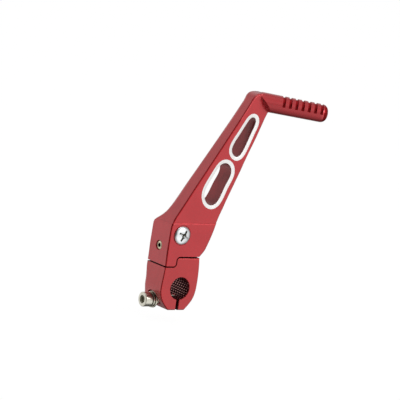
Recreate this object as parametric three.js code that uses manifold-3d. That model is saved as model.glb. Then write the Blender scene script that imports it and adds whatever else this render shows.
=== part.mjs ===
// Folding kick-starter lever: a slotted clamp boss with a splined bore, an arm that swivels on a
// spigot of the boss, and a ribbed foot peg. Millimetres, +Z up.
// Origin: centre of the splined bore on the boss's inboard face. +Y points inboard (into the engine),
// -Y outboard, +Z along the boss towards the arm, +X towards the side the arm leans to.
import * as THREE from 'three';
import { mergeVertices } from 'three/addons/utils/BufferGeometryUtils.js';
import Module from 'manifold-3d';

const wasm = await Module();
wasm.setup();

// ---------------------------------------------------------------- driving dimensions
const DEPTH = 24;                    // boss and head, along the shaft
const YF = -DEPTH;                   // outboard (front) face
const BORE_R = 8.0, ROOT_R = 8.5;   // spline tip and root radius
const TEETH = 28;
const SLOT_X0 = -1.4, SLOT_X1 = 0.75;
const BOTTOM_Z = -16.1;

const PIV_X = 3.3, PIV_Y = -12;      // pivot axis, along Z
const SPIGOT_R = 7.0, SPIGOT_TOP = 45.4;
const GAP = 0.3;
const FOLD = 60;                     // degrees of fold, clockwise from above

const SHOULDER_Z = 15.45, BLOCK_Z = 22.6;      // boss: low shoulder, top of the stop block
const STOP_D = 8.9;                            // stop face to the pivot axis
const SEAM = 0.5;                              // gap between boss and head

const SCREW_X = PIV_X - 8, SCREW_Z = 39.3;     // retaining screw, along Y
const DET_Z = 29.5;                            // detent line, along X
const BALL_R = 2.0, BALL_X = -5.2;

const BOLT_Z = -10.7, BOLT_Y = -12;            // pinch bolt, along X
const BOLT_R = 3.0;

// arm, front view
const ARM_FRONT = YF + 0.5;
const HEAD_TOP = 48.7;
const PEG = { x: 50, y: -18.5, z: 139.34, yaw: 60, tilt: -3.57, r0: 6.95, r1: 6.7, end: 51.9 };
const GROOVES = 7, GROOVE_PITCH = 4.71, GROOVE_FIRST = 18.2, GROOVE_W = 2.1, GROOVE_D = 0.9, GROOVE_SHIFT = 0.9;

// ---------------------------------------------------------------- helpers
function solid(geometry) {
  const g = geometry.index ? geometry.toNonIndexed() : geometry.clone();
  g.deleteAttribute('normal');
  g.deleteAttribute('uv');
  const m = mergeVertices(g, 1e-4);
  const s = new wasm.Manifold(new wasm.Mesh({
    numProp: 3,
    vertProperties: new Float32Array(m.attributes.position.array),
    triVerts: new Uint32Array(m.index.array),
  }));
  return s;
}
function geometryOf(s) {
  const mesh = s.getMesh();
  const g = new THREE.BufferGeometry();
  g.setAttribute('position', new THREE.BufferAttribute(new Float32Array(mesh.vertProperties), 3));
  g.setIndex(new THREE.BufferAttribute(new Uint32Array(mesh.triVerts), 1));
  g.computeVertexNormals();
  return g;
}
function shapeOf(points) {
  return new THREE.Shape(points.map(([a, b]) => new THREE.Vector2(a, b)));
}
// outline in (x, z), from y0 to y1
function prismY(points, y0, y1) {
  const g = new THREE.ExtrudeGeometry(shapeOf(points), { depth: y1 - y0, bevelEnabled: false });
  g.rotateX(Math.PI / 2);
  g.translate(0, y1, 0);
  return solid(g);
}
// outline in (y, z), from x0 to x1
function prismX(points, x0, x1) {
  const g = new THREE.ExtrudeGeometry(shapeOf(points), { depth: x1 - x0, bevelEnabled: false });
  const m = new THREE.Matrix4().makeBasis(
    new THREE.Vector3(0, 1, 0), new THREE.Vector3(0, 0, 1), new THREE.Vector3(1, 0, 0));
  g.applyMatrix4(m);
  g.translate(x0, 0, 0);
  return solid(g);
}
function block(x0, x1, y0, y1, z0, z1) {
  const g = new THREE.BoxGeometry(x1 - x0, y1 - y0, z1 - z0);
  g.translate((x0 + x1) / 2, (y0 + y1) / 2, (z0 + z1) / 2);
  return solid(g);
}
// solid of revolution: profile [[radius, height]...], closed on its axis, laid along `axis` from `at`
function turned(profile, at, axis, segments = 48) {
  const g = new THREE.LatheGeometry(profile.map(([r, h]) => new THREE.Vector2(r, h)), segments);
  const q = new THREE.Quaternion().setFromUnitVectors(new THREE.Vector3(0, 1, 0), axis.clone().normalize());
  g.applyQuaternion(q);
  g.translate(at.x, at.y, at.z);
  let s = solid(g);
  if (s.volume && s.volume() < 0) throw new Error('profile turned inside out');
  return s;
}
function rod(r, from, to, segments = 48) {
  const axis = to.clone().sub(from);
  const len = axis.length();
  return turned([[0, 0], [r, 0], [r, len], [0, len]], from, axis, segments);
}
const V = (x, y, z) => new THREE.Vector3(x, y, z);
function arc(cx, cy, r, a0, a1, n) {
  const out = [];
  for (let i = 0; i <= n; i++) {
    const a = (a0 + (a1 - a0) * i / n) * Math.PI / 180;
    out.push([cx + r * Math.cos(a), cy + r * Math.sin(a)]);
  }
  return out;
}
function smooth(points, n) {
  const c = new THREE.CatmullRomCurve3(points.map(([a, b]) => V(a, b, 0)), false, 'centripetal');
  return c.getPoints(n).map((p) => [p.x, p.y]);
}
function hexagon(af) {
  const r = af / Math.sqrt(3);
  return [0, 1, 2, 3, 4, 5].map((i) => [r * Math.cos(i * Math.PI / 3), r * Math.sin(i * Math.PI / 3)]);
}

function smoothstep(t) {
  const u = Math.max(0, Math.min(1, t));
  return u * u * (3 - 2 * u);
}
// what lies outside a rounded edge between an outline (x, z) and the back surface at sideY(z)
function edgeRounding(path, radius, sideY, n = 3) {
  const pos = [], idx = [];
  let m = 0;
  path.forEach((p, i) => {
    const a = path[Math.max(i - 1, 0)], b = path[Math.min(i + 1, path.length - 1)];
    const len = Math.hypot(b[0] - a[0], b[1] - a[1]);
    const nx = -(b[1] - a[1]) / len, nz = (b[0] - a[0]) / len;
    const r = radius(p[1]), y0 = sideY(p[1]);
    const sec = [[1.5, 1.5], [-r, 1.5]];
    for (let k = 0; k <= n; k++) {
      const t = (k / n) * Math.PI / 2;
      sec.push([-r + r * Math.sin(t), -r + r * Math.cos(t)]);
    }
    sec.push([1.5, -r]);
    m = sec.length;
    for (const [u, v] of sec) pos.push(p[0] + nx * u, y0 + v, p[1] + nz * u);
  });
  for (let k = 0; k < path.length - 1; k++) {
    for (let i = 0; i < m; i++) {
      const j = (i + 1) % m, a = k * m + i, b = k * m + j, c = (k + 1) * m + j, d = (k + 1) * m + i;
      idx.push(a, b, c, a, c, d);
    }
  }
  // end caps, as fans round the concave corner point of the section
  const last = (path.length - 1) * m;
  for (let i = 1; i < m - 1; i++) idx.push(0, i + 1, i);
  for (let i = 1; i < m - 1; i++) idx.push(last, last + i, last + i + 1);
  const g = new THREE.BufferGeometry();
  g.setAttribute('position', new THREE.BufferAttribute(new Float32Array(pos), 3));
  g.setIndex(idx);
  let s = solid(g);
  if (s.volume() < 0) {
    for (let i = 0; i < idx.length; i += 3) [idx[i], idx[i + 1]] = [idx[i + 1], idx[i]];
    g.setIndex(idx);
    s = solid(g);
  }
  return s;
}

// ---------------------------------------------------------------- clamp boss
const bossOutline = [
  [14.0, 22.6],
  ...smooth([[14.55, 18], [14.9, 14], [15.05, 10], [15.1, 6.4], [15.0, 2.7], [14.75, -1.1], [14.0, -5], [12.4, -8.8],
    [9.6, -12.6]], 22),
  [7.0, -15.4], [6.3, BOTTOM_Z], [-7.6, BOTTOM_Z], [-8.8, -15.3],
  ...smooth([[-10.8, -13.2], [-13.4, -10.2], [-15.4, -6.5], [-16.4, -3], [-16.6, 0.6], [-16.3, 5], [-15.8, 10],
    [-15.45, 15.45]], 20),
  [-15.35, 22.6],
];
let boss = prismY(bossOutline, YF, 0);

// stop block: profile of distance from the pivot axis against height, swept through the fold
function stopProfile(gap) {
  // points [distance, z]; the material lies below
  const r1 = 2.0 + gap, r2 = 3.0 - gap;
  const top = BLOCK_Z + gap, low = SHOULDER_Z + gap;
  const p = [[-60, -60], [-60, top]];
  for (const [a, b] of arc(STOP_D - 2.0, BLOCK_Z - 2.0, r1, 90, 0, 5)) p.push([a, b]);
  for (const [a, b] of arc(STOP_D + 3.0, SHOULDER_Z + 3.0, r2, 180, 270, 6)) p.push([a, b]);
  p.push([60, low], [60, -60]);
  return p;
}
function profilePrism(gap, angle) {
  // the profile lies in (distance, z); distance grows along -X at angle 0
  const pts = stopProfile(gap).map(([d, z]) => [-d, z]).reverse();
  const g = new THREE.ExtrudeGeometry(shapeOf(pts), { depth: 120, bevelEnabled: false });
  g.rotateX(Math.PI / 2);
  g.translate(0, 60, 0);
  g.rotateZ(-angle * Math.PI / 180);
  g.translate(PIV_X, PIV_Y, 0);
  return solid(g);
}
for (let a = 0; a <= FOLD + 0.1; a += 7.5) boss = boss.intersect(profilePrism(0, a));
// its left edge at the back is rounded, most of all beside the bore
boss = boss.subtract(edgeRounding(smooth([[2.0, BOTTOM_Z], [-7.0, BOTTOM_Z], [-8.8, -15.3], [-10.8, -13.2],
  [-13.4, -10.2], [-15.4, -6.5], [-16.4, -3], [-16.6, 0.6], [-16.3, 5], [-15.8, 10], [-15.45, 15.45], [-15.35, 22.6],
  [-15.3, 26]], 26), (z) => 1.3 + 3.6 * smoothstep((14.5 - z) / 13) * smoothstep((z + 12.5) / 9), () => 0));

// spigot with its collar, the groove for the retaining screw and the track for the ball
const spigotProfile = [[0, 15], [SPIGOT_R, 15], [SPIGOT_R, SCREW_Z - 3.35], [4.65, SCREW_Z - 3.35],
  [4.65, SCREW_Z + 3.35], [SPIGOT_R, SCREW_Z + 3.35], [SPIGOT_R, SPIGOT_TOP - 0.6], [SPIGOT_R - 0.6, SPIGOT_TOP],
  [0, SPIGOT_TOP]];
const UP = V(0, 0, 1);
let spigot = turned(spigotProfile, V(PIV_X, PIV_Y, 0), UP, 56);
{
  const trackR = PIV_X - BALL_X;
  const c = arc(trackR, DET_Z, BALL_R + 0.3, 0, 360, 14).slice(0, -1);
  c.push(c[0].slice());
  spigot = spigot.subtract(turned(c, V(PIV_X, PIV_Y, 0), UP, 56));
}
boss = boss.add(spigot);

// splined bore, with a chamfered mouth at both faces
const spline = [];
for (let i = 0; i < TEETH; i++) {
  const a = 2 * Math.PI * i / TEETH, w = 2 * Math.PI / TEETH;
  spline.push([BORE_R * Math.cos(a - w * 0.1), BORE_R * Math.sin(a - w * 0.1)]);
  spline.push([BORE_R * Math.cos(a + w * 0.1), BORE_R * Math.sin(a + w * 0.1)]);
  spline.push([ROOT_R * Math.cos(a + w * 0.5), ROOT_R * Math.sin(a + w * 0.5)]);
}
boss = boss.subtract(prismY(spline, YF - 1, 1));
boss = boss.subtract(block(SLOT_X0, SLOT_X1, YF - 1, 1, BOTTOM_Z - 1, -6));

// pinch bolt: a hole right through both halves under the bore, which it breaks into, and a spot face on the left side
boss = boss.subtract(rod(BOLT_R + 0.8, V(-20, BOLT_Y, BOLT_Z), V(20, BOLT_Y, BOLT_Z), 32));
boss = boss.subtract(rod(7.0, V(-20, BOLT_Y, BOLT_Z), V(-10.6, BOLT_Y, BOLT_Z), 40));

// ---------------------------------------------------------------- lever arm
// head, front view
const headOutline = [
  [-15.0, 10], [-15.3, 16.5], [-15.35, 22], [-15.45, 28.5], [-15.3, 35], [-15.1, 42], [-14.9, 45.6], [-14.6, 47.1],
  [-13.9, 48.2], [-12.8, HEAD_TOP],
  [24.8, HEAD_TOP],
  ...smooth([[23.6, 43.9], [22.4, 40], [21.1, 36.2], [19.6, 32.4], [18.1, 28.8], [16.3, 26.2], [14.7, 24.4],
    [13.6, 23.0]], 14),
  [13.4, 10],
];
let head = prismY(headOutline, YF, 0);
// arm blade, front view: one long taper with a rounded top corner
const armOutline = [
  [-14.2, 47.0], [-13.6, 48.6], [-12.3, 51.3], [-10.7, 54.0], [-8.3, 57.9],
  [-3.75, 65.3], [0.65, 72.75], [5.2, 80.2], [9.8, 87.65], [14.4, 95.15], [19.0, 102.65], [23.55, 110.15], [28.1, 117.7],
  [32.6, 125.2], [37.0, 132.8], [41.1, 140.0],
  [42.1, 141.7], [43.2, 143.1], [44.6, 144.3], [46.4, 145.2],
  [49.0, 145.65], [53.0, 145.6], [56.2, 144.6], [58.3, 142.6], [59.0, 140.4],
  [57.4, 132.5], [56.1, 130.0], [54.7, 126.2], [51.95, 118.8], [49.15, 111.2], [46.0, 103.7], [42.95, 96.2],
  [40.2, 88.65], [37.25, 81.15], [34.25, 73.65], [31.25, 66.15], [28.5, 58.65], [26.6, 53.9], [24.7, 48.0], [23.8, 45.0],
  [-14.4, 45.0],
];
const backOf = (z) => YF + 17.4 - (z - 50) * 0.045;
const blade = prismY([...armOutline].reverse(), ARM_FRONT, 0.5);
let arm = head.add(blade);
{
  // side profile: full depth at the head, a round back-top corner, a hollow up to the thinner, tapering arm
  const side = [[0, 0], [0, 44.0], [-0.25, 45.6], [-1.0, 47.0], [-2.2, 48.3], [-3.6, 49.9], [-4.9, 52.0],
    [-6.0, 55.0], [backOf(60), 60], [backOf(150), 150]];
  arm = arm.intersect(prismX([[YF - 1, 0], ...side, [YF - 1, 150]], -40, 80));
  // the long edges at the back are rounded
  const sideY = (z) => {
    for (let i = 1; i < side.length; i++) {
      if (z <= side[i][1]) {
        const [a, b] = [side[i - 1], side[i]];
        return a[0] + (b[0] - a[0]) * (z - a[1]) / (b[1] - a[1]);
      }
    }
    return side[side.length - 1][0];
  };
  const left = smooth([[-15.3, 12], [-15.35, 22], [-15.45, 28.5], [-15.3, 35], [-15.1, 42], [-14.9, 45.6],
    [-14.4, 47.2], [-13.6, 48.8], [-12.3, 51.3], [-10.7, 54.0], [-8.3, 57.9], [0.65, 72.75], [9.8, 87.65],
    [19.0, 102.65], [28.1, 117.7], [37.0, 132.8], [40.4, 138.8], [42.1, 141.7], [43.2, 143.1], [44.6, 144.3],
    [46.4, 145.2], [49.0, 145.65], [57.0, 145.6]], 44);
  arm = arm.subtract(edgeRounding(left,
    (z) => 1.2 + 3.6 * smoothstep((z - 44) / 12) - 2.4 * smoothstep((z - 139) / 6), sideY));
  const right = smooth([[13.6, 18.0], [13.6, 23.0], [14.7, 24.4], [16.3, 26.2], [18.1, 28.8], [19.6, 32.4],
    [21.1, 36.2], [22.4, 40], [23.6, 43.9], [25.05, 49.4], [26.6, 53.9], [28.5, 58.65], [34.25, 73.65], [40.2, 88.65],
    [46.0, 103.7], [51.95, 118.8], [54.7, 126.2], [57.4, 132.5], [58.7, 136]], 34).reverse();
  arm = arm.subtract(edgeRounding(right, (z) => 1.0 + 2.2 * smoothstep((z - 44) / 12), sideY));
}

// through slots
function slotOutline(points, n) {
  const c = new THREE.CatmullRomCurve3(points.map(([a, b]) => V(a, b, 0)), true, 'centripetal');
  const p = c.getPoints(n).map((q) => [q.x, q.y]);
  p.pop();
  return p;
}
const slotLow = [[17.9, 61.4], [13.7, 62.9], [11.1, 66.2], [10.2, 70.6], [11.6, 75.6], [15.2, 82.2], [19.1, 89.2],
  [21.9, 92.5], [25.5, 93.4], [29.0, 92.1], [31.2, 89.0], [31.6, 85.3], [30.2, 81.2], [28.1, 77.0], [26.2, 72.0],
  [24.2, 66.8], [21.7, 63.0]];
const slotHigh = [[34.0, 97.7], [30.6, 99.6], [28.9, 103.0], [30.0, 107.4], [34.4, 114.9], [38.6, 122.1], [41.5, 126.6],
  [44.2, 128.0], [46.5, 126.8], [47.1, 123.6], [44.5, 116.2], [40.9, 106.5], [38.2, 100.5], [36.3, 98.4]];
arm = arm.subtract(prismY(slotOutline(slotLow, 44), YF - 5, 5));
arm = arm.subtract(prismY(slotOutline(slotHigh, 44), YF - 5, 5));

// foot peg
const yaw = PEG.yaw * Math.PI / 180, tilt = PEG.tilt * Math.PI / 180;
const pegDir = V(Math.sin(yaw) * Math.cos(tilt), -Math.cos(yaw) * Math.cos(tilt), Math.sin(tilt));
const pegAt = V(PEG.x, PEG.y, PEG.z);
const pegFront = new THREE.Vector3().crossVectors(pegDir, V(0, 0, 1)).normalize();   // horizontal, square to the peg
const pegUp = new THREE.Vector3().crossVectors(pegFront, pegDir).normalize();
const pegPoint = (s) => pegAt.clone().addScaledVector(pegDir, s);
{
  const L = PEG.end, r = 5.0;
  const rad = (s) => PEG.r0 + (PEG.r1 - PEG.r0) * s / 50;
  const prof = [[0, -0.5], [rad(0) - 2.4, -0.5], [rad(0) - 0.9, 0.1], [rad(0), 1.6], [rad(L - r), L - r]];
  for (let i = 1; i <= 5; i++) {
    const a = (i / 5) * Math.PI / 2;
    prof.push([rad(L - r) - r + r * Math.cos(a), L - r + r * Math.sin(a)]);
  }
  prof.push([0, L]);
  let peg = turned(prof, pegAt, pegDir, 40);
  // grooves across the upper half
  for (let i = 0; i < GROOVES; i++) {
    const s = GROOVE_FIRST + i * GROOVE_PITCH;
    const w = GROOVE_W / 2;
    const rr = rad(s) - GROOVE_D;
    if (s + w > L - 0.3) break;
    const ring = turned([[rr, s - w], [9, s - w], [9, s + w], [rr, s + w], [rr, s - w]],
      pegAt.clone().addScaledVector(pegFront, -GROOVE_SHIFT), pegDir, 40);
    const half = new THREE.BoxGeometry(24, 24, 12);
    half.applyMatrix4(new THREE.Matrix4().makeBasis(pegFront, pegDir, pegUp));
    const c = pegPoint(s).addScaledVector(pegUp, 6.0);
    half.translate(c.x, c.y, c.z);
    peg = peg.subtract(ring.intersect(solid(half)));
  }
  // the peg's root is milled flush with the back of the arm
  peg = peg.intersect(prismX([[-90, 90], [backOf(90), 90], [backOf(180), 180], [-90, 180]], -20, 140));
  // and ends at a milled wall, square to the front of the arm
  const wall = new THREE.BoxGeometry(80, 60, 40);
  wall.applyMatrix4(new THREE.Matrix4().makeBasis(V(0.607, 0, -0.795), V(0, 1, 0), V(0.795, 0, 0.607)));
  wall.translate(52.4 - 0.795 * 20, ARM_FRONT - 29.98, 137.75 - 0.607 * 20);
  peg = peg.subtract(solid(wall));
  arm = arm.add(peg);
}

// seam with the boss, hanging lip on the left
arm = arm.subtract(profilePrism(SEAM, 0));

// bore for the spigot
arm = arm.subtract(turned([[0, 10], [SPIGOT_R + GAP, 10], [SPIGOT_R + GAP, SPIGOT_TOP + 0.3], [0, SPIGOT_TOP + 0.3]],
  V(PIV_X, PIV_Y, 0), UP, 56));
// retaining screw: hole along Y and a shallow spot face
arm = arm.subtract(rod(BOLT_R + GAP, V(SCREW_X, YF - 2, SCREW_Z), V(SCREW_X, -2.2, SCREW_Z), 32));
arm = arm.subtract(rod(7.25, V(SCREW_X, YF - 2, SCREW_Z), V(SCREW_X, YF + 0.7, SCREW_Z), 48));
// detent hole along X
arm = arm.subtract(rod(3.3, V(-20, PIV_Y, DET_Z), V(-10.45, PIV_Y, DET_Z), 32));
arm = arm.subtract(rod(2.3, V(-12, PIV_Y, DET_Z), V(PIV_X, PIV_Y, DET_Z), 24));

// ---------------------------------------------------------------- fasteners
// pinch bolt: socket-head cap screw, its head to the left
const PB_HEAD_X = -23.3, PB_HEAD_L = 6.0, PB_HEAD_R = 5.35;
let pinchBolt = turned([[0, 0], [PB_HEAD_R - 0.7, 0], [PB_HEAD_R, 0.7], [PB_HEAD_R, PB_HEAD_L - 0.3],
  [PB_HEAD_R - 0.3, PB_HEAD_L], [BOLT_R, PB_HEAD_L], [BOLT_R, 29.2], [BOLT_R - 0.9, 30.1], [0, 30.1]],
V(PB_HEAD_X, BOLT_Y, BOLT_Z), V(1, 0, 0), 40);
{
  const g = new THREE.ExtrudeGeometry(shapeOf(hexagon(5.0)), { depth: 4.2, bevelEnabled: false });
  g.rotateZ(Math.PI / 6);
  g.rotateY(Math.PI / 2);
  g.translate(PB_HEAD_X - 1, BOLT_Y, BOLT_Z);
  pinchBolt = pinchBolt.subtract(solid(g));
}
function washer(ri, ro, x0, x1, split) {
  let w = turned([[ri, 0], [ro, 0], [ro, x1 - x0], [ri, x1 - x0], [ri, 0]], V(x0, BOLT_Y, BOLT_Z), V(1, 0, 0), 40);
  if (split) {
    const g = new THREE.BoxGeometry(6, 1.0, 8);
    g.rotateX(0.0);
    g.rotateY(0.35);
    g.translate((x0 + x1) / 2, BOLT_Y - 2.0, BOLT_Z - ro);
    w = w.subtract(solid(g));
  }
  return w;
}
const springWasher = washer(3.3, 5.6, -17.0, -15.4, true);
const flatWasher = washer(3.35, 6.1, -15.0, -13.6, false);

// retaining screw: truss head with a cross recess
let pivotScrew;
{
  const H = 2.9, R = 6.85;
  const prof = [[0, 0]];
  // axis runs inboard (+Y); the dome starts at the outermost point
  for (let i = 1; i <= 9; i++) {
    const a = (i / 9);
    const r = R * Math.sin(a * Math.PI / 2);
    const dome = 2.3 * (1 - Math.cos(a * Math.PI / 2));
    prof.push([r, dome]);
  }
  prof.push([R, H], [BOLT_R, H], [BOLT_R, 22.0], [BOLT_R - 0.8, 22.8], [0, 22.8]);
  pivotScrew = turned(prof, V(SCREW_X, YF + 0.4 - H, SCREW_Z), V(0, 1, 0), 48);
  const cross = new THREE.BoxGeometry(7.2, 5.0, 1.5);
  const a0 = 0.5;
  const b1 = cross.clone(); b1.rotateY(a0); b1.translate(SCREW_X, YF + 0.4 - H, SCREW_Z);
  const b2 = cross.clone(); b2.rotateY(a0 + Math.PI / 2); b2.translate(SCREW_X, YF + 0.4 - H, SCREW_Z);
  pivotScrew = pivotScrew.subtract(solid(b1)).subtract(solid(b2));
}

// detent: set screw, spring, ball
let setScrew = turned([[0, 0], [2.5, 0], [3.0, 0.5], [3.0, 3.5], [2.4, 4.0], [0, 4.0]], V(-14.75, PIV_Y, DET_Z),
  V(1, 0, 0), 32);
{
  const g = new THREE.ExtrudeGeometry(shapeOf(hexagon(3.0)), { depth: 3.0, bevelEnabled: false });
  g.rotateY(Math.PI / 2);
  g.translate(-14.75 - 1, PIV_Y, DET_Z);
  setScrew = setScrew.subtract(solid(g));
}
class Helix extends THREE.Curve {
  getPoint(t, target = new THREE.Vector3()) {
    const a = t * 2 * Math.PI * 2.75;
    return target.set(-10.1 + 2.3 * t, PIV_Y + 1.6 * Math.cos(a), DET_Z + 1.6 * Math.sin(a));
  }
}
const wire = new THREE.Shape(arc(0, 0, 0.25, 0, 360, 8).slice(0, -1).map(([a, b]) => new THREE.Vector2(a, b)));
const springGeometry = new THREE.ExtrudeGeometry(wire, { steps: 44, extrudePath: new Helix(), bevelEnabled: false });
const ballGeometry = new THREE.SphereGeometry(BALL_R, 24, 14);

// ---------------------------------------------------------------- materials and assembly
const red = (name) => new THREE.MeshStandardMaterial({ name, color: 0xb52a35, metalness: 0.9, roughness: 0.42 });
const steel = (name, c, r) => new THREE.MeshStandardMaterial({ name, color: c, metalness: 1.0, roughness: r });

function piece(name, s, material) {
  const mesh = new THREE.Mesh(s.isBufferGeometry ? s : geometryOf(s), material);
  mesh.name = name;
  return mesh;
}
const lever = new THREE.Group();
lever.name = 'kick_starter_lever';
lever.add(piece('clamp_boss', boss, red('anodised_boss')));
lever.add(piece('pinch_bolt', pinchBolt, steel('bolt_steel', 0xc9c6b4, 0.3)));
lever.add(piece('pinch_spring_washer', springWasher, steel('washer_steel_a', 0xbab7a4, 0.35)));
lever.add(piece('pinch_flat_washer', flatWasher, steel('washer_steel_b', 0xc2bfae, 0.32)));
const swivel = new THREE.Group();
swivel.name = 'swivel';
swivel.add(piece('lever_arm', arm, red('anodised_arm')));
swivel.add(piece('pivot_retaining_screw', pivotScrew, steel('screw_plated', 0xdfe3e4, 0.22)));
swivel.add(piece('detent_set_screw', setScrew, steel('set_screw_zinc', 0xb8a878, 0.35)));
swivel.add(piece('detent_spring', springGeometry, steel('spring_steel', 0x8c8c8c, 0.35)));
const ball = piece('detent_ball', ballGeometry, steel('ball_steel', 0xcfcfcf, 0.12));
ball.position.set(BALL_X, PIV_Y, DET_Z);
swivel.add(ball);
lever.add(swivel);

export default lever;
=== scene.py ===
import math
import bpy
import bmesh
from mathutils import Matrix, Vector


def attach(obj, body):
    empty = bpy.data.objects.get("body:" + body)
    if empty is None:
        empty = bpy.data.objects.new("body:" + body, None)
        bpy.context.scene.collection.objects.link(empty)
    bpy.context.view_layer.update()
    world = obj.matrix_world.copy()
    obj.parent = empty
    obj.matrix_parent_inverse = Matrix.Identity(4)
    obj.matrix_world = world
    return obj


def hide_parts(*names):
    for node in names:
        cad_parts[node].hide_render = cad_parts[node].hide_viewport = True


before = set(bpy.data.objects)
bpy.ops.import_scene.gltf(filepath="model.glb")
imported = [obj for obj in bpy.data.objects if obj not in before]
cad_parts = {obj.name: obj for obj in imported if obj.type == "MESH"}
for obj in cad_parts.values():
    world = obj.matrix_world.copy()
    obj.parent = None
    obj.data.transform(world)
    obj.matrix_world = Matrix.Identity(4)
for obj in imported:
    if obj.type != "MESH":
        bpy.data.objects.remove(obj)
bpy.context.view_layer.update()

# Folding kick-starter lever. Every size below is in millimetres in the row's frame; meshes are scaled to metres
# when they are finished.
MM = 0.001
YF = -24.0
BORE_R, ROOT_R, TEETH = 8.0, 8.45, 28
SLOT_X0, SLOT_X1 = -1.4, 0.75
BOTTOM_Z = -16.1
PIV = Vector((3.3, -12.0, 0.0))
SPIGOT_R, SPIGOT_TOP = 7.0, 45.4
SHOULDER_Z, BLOCK_Z, STOP_D, SEAM, FOLD = 15.45, 22.6, 8.9, 1.0, 60.0
SCREW_X, SCREW_Z = -4.7, 39.3
DET_Z, BALL_X, BALL_R = 29.5, -5.2, 2.0
BOLT_Y, BOLT_Z, BOLT_R = -12.0, -10.7, 3.0
ARM_FRONT, HEAD_TOP = YF + 0.5, 48.7
RIM_W, RIM_DROP = 2.7, 0.45
PEG = dict(x=50.0, y=-18.5, z=139.34, yaw=60.0, tilt=-3.57, r0=6.93, r1=6.68, end=51.82)
GROOVES, GROOVE_PITCH, GROOVE_FIRST, GROOVE_W, GROOVE_D, GROOVE_SHIFT = 8, 4.71, 18.2, 2.1, 0.9, 0.9


# studio light: (direction, cosine where it starts, cosine where it is full, strength)
WORLD_BASE = 0.05
WORLD_LOBES = [
    ((-0.58, 0.79, -0.1), 0.55, 0.95, 0.74),    # lit paper behind, left
    ((0.6, 0.8, 0.1), 0.4, 0.9, 0.3),         # its right side
    ((0.45, -0.88, -0.1), 0.35, 0.95, 0.78),     # bright wall on the camera's right
    ((-0.2, -0.6, -0.75), 0.5, 0.95, 0.35),   # paper in front, below
    ((-0.1, -0.69, 0.71), 0.66, 0.96, 0.5),   # soft light above the camera
    ((0.2, 0.35, 0.9), 0.45, 0.95, 0.42),       # ceiling
]
LIGHTS = [
    ("key", (0.55, -1.3, 0.75), (0.015, -0.015, 0.06), (0.7, 0.7), 4.5),
    ("top", (-0.2, 0.1, 1.4), (0.015, -0.015, 0.06), (0.8, 0.8), 2.0),
]


# ------------------------------------------------------------------ small mesh tools
def mesh_object(name, verts, faces):
    me = bpy.data.meshes.new(name)
    me.from_pydata([tuple(v) for v in verts], [], faces)
    bm = bmesh.new()
    bm.from_mesh(me)
    bmesh.ops.remove_doubles(bm, verts=bm.verts, dist=1e-5)
    bmesh.ops.recalc_face_normals(bm, faces=bm.faces)
    if bm.calc_volume(signed=True) < 0:
        bmesh.ops.reverse_faces(bm, faces=bm.faces)
    bm.to_mesh(me)
    bm.free()
    ob = bpy.data.objects.new(name, me)
    bpy.context.scene.collection.objects.link(ob)
    return ob


def prism(points, a0, a1, place):
    n = len(points)
    verts = [place(p[0], p[1], a0) for p in points] + [place(p[0], p[1], a1) for p in points]
    faces = [tuple(range(n)), tuple(range(2 * n - 1, n - 1, -1))]
    faces += [(i, i + n, (i + 1) % n + n, (i + 1) % n) for i in range(n)]
    return mesh_object("tmp", verts, faces)


def prism_y(points, y0, y1):
    return prism(points, y0, y1, lambda a, b, c: (a, c, b))


def prism_x(points, x0, x1):
    return prism(points, x0, x1, lambda a, b, c: (c, a, b))


def loft_y(loops):
    """closed body through matching outlines: [(y, [(x, z)...]), ...]"""
    n = len(loops[0][1])
    verts = [(p[0], y, p[1]) for y, pts in loops for p in pts]
    faces = []
    for k in range(len(loops) - 1):
        for i in range(n):
            j = (i + 1) % n
            faces.append((k * n + i, k * n + j, (k + 1) * n + j, (k + 1) * n + i))
    faces.append(tuple(range(n)))
    faces.append(tuple((len(loops) - 1) * n + i for i in reversed(range(n))))
    return mesh_object("tmp", verts, faces)


def box(x0, x1, y0, y1, z0, z1):
    return prism_y([(x0, z0), (x1, z0), (x1, z1), (x0, z1)], y0, y1)


def frame_of(axis):
    z = Vector(axis).normalized()
    x = z.orthogonal().normalized()
    if abs(z.z) < 0.99:
        x = Vector((0, 0, 1)).cross(z).normalized()
    y = z.cross(x)
    return x, y, z


def lathe(profile, at, axis, seg=64, phase=0.0):
    """solid of revolution: profile [(r, h)...] from axis to axis, or closed on itself when it doesn't touch the axis"""
    x, y, z = frame_of(axis)
    at = Vector(at)
    closed = profile[0] == profile[-1]
    prof = profile[:-1] if closed else profile
    verts, rings = [], []
    for r, h in prof:
        if r < 1e-7:
            rings.append([len(verts)])
            verts.append(at + z * h)
        else:
            rings.append(list(range(len(verts), len(verts) + seg)))
            for k in range(seg):
                a = 2 * math.pi * k / seg + phase
                verts.append(at + z * h + (x * math.cos(a) + y * math.sin(a)) * r)
    faces = []
    pairs = list(zip(rings, rings[1:] + ([rings[0]] if closed else [])))
    if not closed:
        pairs = pairs[:len(rings) - 1]
    for a, b in pairs:
        if len(a) == 1 and len(b) == 1:
            continue
        for k in range(seg):
            j = (k + 1) % seg
            if len(a) == 1:
                faces.append((a[0], b[j], b[k]))
            elif len(b) == 1:
                faces.append((a[k], a[j], b[0]))
            else:
                faces.append((a[k], a[j], b[j], b[k]))
    return mesh_object("tmp", verts, faces)


def rod(r, a, b, seg=64):
    a, b = Vector(a), Vector(b)
    return lathe([(0, 0), (r, 0), (r, (b - a).length), (0, (b - a).length)], a, b - a, seg)


def sweep(section, frames):
    """closed solid: a closed 2D section carried along frames [(origin, u, v)...]"""
    n, verts, faces = len(section), [], []
    for o, u, v in frames:
        verts += [Vector(o) + Vector(u) * p[0] + Vector(v) * p[1] for p in section]
    for k in range(len(frames) - 1):
        for i in range(n):
            j = (i + 1) % n
            faces.append((k * n + i, k * n + j, (k + 1) * n + j, (k + 1) * n + i))
    faces.append(tuple(range(n)))
    faces.append(tuple((len(frames) - 1) * n + i for i in reversed(range(n))))
    return mesh_object("tmp", verts, faces)


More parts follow.
